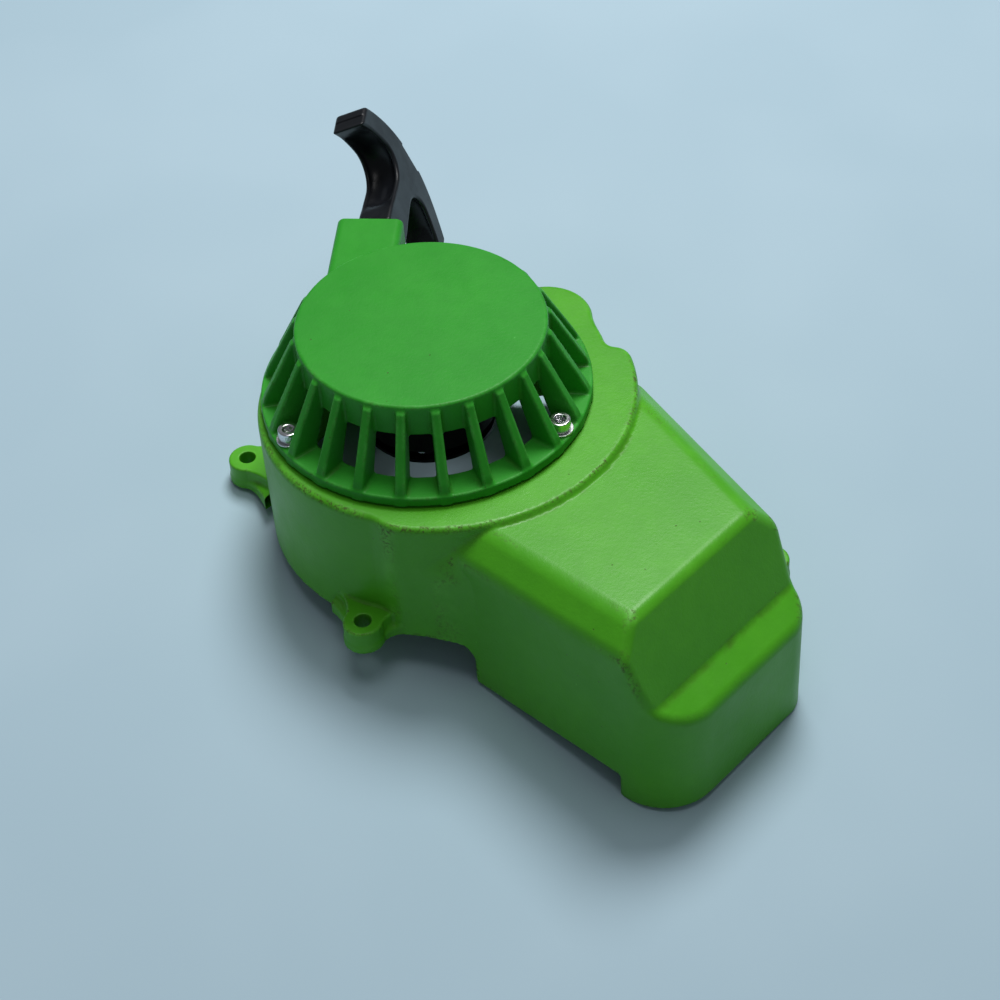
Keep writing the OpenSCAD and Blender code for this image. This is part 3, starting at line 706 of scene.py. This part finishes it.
def soften(node, width_mm, segments=2):
    """Rounds a kept CAD node's edges with a modifier, so that they catch the light."""
    piece = frame["nodes"][node]
    weld = piece.modifiers.new("weld", "WELD")
    weld.merge_threshold = 0.002 * MM
    rounding = piece.modifiers.new("bevel", "BEVEL")
    rounding.width, rounding.segments = width_mm * MM, segments
    rounding.limit_method, rounding.angle_limit = "ANGLE", math.radians(35)
    rounding.harden_normals = False
    normal = piece.modifiers.new("normals", "WEIGHTED_NORMAL")
    normal.keep_sharp = True


def reach(low, high, spare=2.0):
    return np.array(low) - spare, np.array(high) + spare


YELLOW_GREEN = ((0.088, 0.420, 0.015, 1), (0.070, 0.370, 0.012, 1))
DEEP_GREEN = ((0.034, 0.330, 0.026, 1), (0.026, 0.290, 0.022, 1))
DIRT = (0.055, 0.036, 0.014, 1)

STEP = 1.05
shell = solid_piece("t_fan_shroud", shroud, *reach(SHROUD_LOW, SHROUD_HIGH), STEP, 1.4)
dress(shell, enamel("shroud_enamel", *YELLOW_GREEN, DIRT, 0.3, 0.38, 0.85))
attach(shell, "root")
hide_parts("fan_shroud")
for name in LUGS:
    low, high = mounts[name] + (-17, -17, -5.6), mounts[name] + (17, 17, 5.6)
    low[2], high[2] = -1, LUG_TOP + 1
    piece = solid_piece("t_" + name, lug_solid(name), low, high, 0.45, 0.8)
    dress(piece, bpy.data.materials["shroud_enamel"])
    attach(piece, "root")

cover = solid_piece("t_starter_housing", housing, *reach(HOUSING_LOW, HOUSING_HIGH), STEP * 0.62, 1.0)
dress(cover, enamel("housing_enamel", *DEEP_GREEN, DIRT, 0.17, 0.42, 0.3))
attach(cover, "root")
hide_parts("starter_housing")

screws = screws_piece()
dress(screws, metal("bright_nickel", (0.80, 0.80, 0.82, 1), 0.14, 0.6, tint=0.15))
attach(screws, "root")
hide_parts("housing_screws")

grip = handle_piece()
dress(grip, plastic("handle_nylon", (0.005, 0.006, 0.008, 1), 0.28, 0.8, 0.012, 0.25))
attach(grip, "handle")
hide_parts("pull_handle")

rope_line = braided_rope("rope_braid", PULL, NECK_FACE * MM)
rope_coil = wound_rope("rope_wound")
lead = lead_piece()
dress(lead, rope_line)
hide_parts("rope_lead")
windings = windings_piece()
dress(windings, rope_coil)
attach(windings, "reel")
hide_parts("rope_windings")
knot = knot_piece()
dress(knot, rope_coil)
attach(knot, "rope_end")
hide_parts("handle_knot")

zinc = metal("zinc_plate", (0.62, 0.63, 0.65, 1), 0.30)
steel = metal("turned_steel", (0.50, 0.51, 0.54, 1), 0.32, turned=True)
pressed = metal("pressed_steel", (0.42, 0.43, 0.46, 1), 0.38)
blued = metal("blued_spring_steel", (0.16, 0.20, 0.30, 1), 0.28)
bronze = metal("sintered_bronze", (0.58, 0.38, 0.16, 1), 0.42, 0.3)
black_oxide = metal("black_oxide_steel", (0.035, 0.035, 0.04, 1), 0.45)
reel_nylon = plastic("reel_nylon", (0.010, 0.010, 0.011, 1), 0.5, 0.6, 0.05)

FINISHES = {
    "housing_washers": (zinc, 0.12), "rope_guide": (steel, 0.3),
    "spring_case": (pressed, 0.1), "recoil_spring": (blued, 0), "rope_reel": (reel_nylon, 0.35),
    "reel_bush": (bronze, 0.1), "pawl_pivots": (steel, 0.15), "pawl_a": (steel, 0.2), "pawl_b": (steel,
                                                                                                 0.2),
    "clutch_plate": (black_oxide, 0.15), "brake_spring": (zinc, 0), "centre_screw": (steel, 0.25),
    "retaining_washer": (zinc, 0.1), "knot_washer": (zinc, 0.1),
}
for node, (material, width) in FINISHES.items():
    dress(frame["nodes"][node], material)
    if width:
        soften(node, width)


# ---------------------------------------------------------------- camera, floor and light

VIEW_AZIMUTH, VIEW_ELEVATION, VIEW_ROLL = math.radians(45), math.radians(44.81), math.radians(-4.14)
CAMERA_AT = Vector((431.96, -401.14, 581.93)) * MM

back = Vector((math.sin(VIEW_AZIMUTH) * math.cos(VIEW_ELEVATION),
               -math.cos(VIEW_AZIMUTH) * math.cos(VIEW_ELEVATION), math.sin(VIEW_ELEVATION)))
camera = bpy.data.objects.new("camera", bpy.data.cameras.new("camera"))
camera.location = CAMERA_AT
level = (-back).to_track_quat("-Z", "Y")
camera.rotation_mode = "QUATERNION"
camera.rotation_quaternion = level @ Matrix.Rotation(VIEW_ROLL, 3, "Z").to_quaternion()
camera.data.lens, camera.data.sensor_width = 84.4, 36
camera.data.clip_start, camera.data.clip_end = 0.01, 20
bpy.context.scene.collection.objects.link(camera)
bpy.context.scene.camera = camera

FLOOR_HALF = 2.5
BEND_FROM, BEND_TO = -0.27, -0.13  # the floor levels out here, out of the pulled handle's way
# The casting stands on the tips of its left and back lugs and on a corner of the foot.
left_tip = np.array([SHROUD_LOW[0], mounts["lug_left"][1] - 3, 0])
back_tip = np.array([mounts["lug_back"][0] - 3, mounts["lug_back"][1] + LUG_R - 1, 0])
foot_corner = np.array([SHROUD_HIGH[0], 15, SHROUD_LOW[2]])
across = np.cross(back_tip - left_tip, foot_corner - left_tip)
fall, rise = across[0] / across[2], -across[1] / across[2]
floor_x = [-FLOOR_HALF, *np.linspace(BEND_FROM, BEND_TO, 15), 0.15, FLOOR_HALF]
floor_points = []
for x in floor_x:
    bend = max(0, min(x, BEND_TO) - BEND_FROM) ** 2 / (2 * (BEND_TO - BEND_FROM)) + max(0, x - BEND_TO)
    drop = bend - (BEND_TO - BEND_FROM) / 2 + BEND_TO - left_tip[0] * MM
    for y in (-FLOOR_HALF, FLOOR_HALF):
        floor_points.append((x, y, -fall * drop + rise * (y - left_tip[1] * MM) - 0.0003))
floor_faces = [(2 * i, 2 * i + 2, 2 * i + 3, 2 * i + 1) for i in range(len(floor_x) - 1)]
floor_mesh = bpy.data.meshes.new("floor")
floor_mesh.from_pydata(floor_points, [], floor_faces)
floor_mesh.polygons.foreach_set("use_smooth", [True] * len(floor_faces))
floor = bpy.data.objects.new("floor", floor_mesh)
bpy.context.scene.collection.objects.link(floor)
floor_paint, floor_tree, floor_shader, floor_where = fresh("floor_paper", Roughness=0.75)
floor_tree.links.new(mixed(floor_tree,
                           stretch(floor_tree, noise(floor_tree, floor_where, 120, 2), 0.4, 0.6),
                           (0.40, 0.55, 0.64, 1), (0.42, 0.57, 0.66, 1)), floor_shader.inputs["Base Color"])
floor_mesh.materials.append(floor_paint)

world = bpy.data.worlds.new("studio")
bpy.context.scene.world = world
world.use_nodes = True
world.node_tree.nodes["Background"].inputs[0].default_value = (0.80, 0.86, 0.92, 1)
world.node_tree.nodes["Background"].inputs[1].default_value = 0.16


def softbox(name, place, size, watts, colour=(1, 1, 1)):
    """An area light at a place in metres, aimed at the object's middle."""
    light = bpy.data.objects.new(name, bpy.data.lights.new(name, "AREA"))
    light.data.shape, light.data.size, light.data.energy, light.data.color = "DISK", size, watts, colour
    light.location = place
    light.rotation_mode = "QUATERNION"
    light.rotation_quaternion = (Vector((0.03, 0, 0.03)) - Vector(place)).to_track_quat("-Z", "Y")
    bpy.context.scene.collection.objects.link(light)


softbox("key", (-0.24, 0.56, 1.36), 0.65, 17.5)
softbox("top", (0.06, 0.02, 1.45), 0.8, 4)

scene = bpy.context.scene
scene.view_settings.view_transform = "Standard"
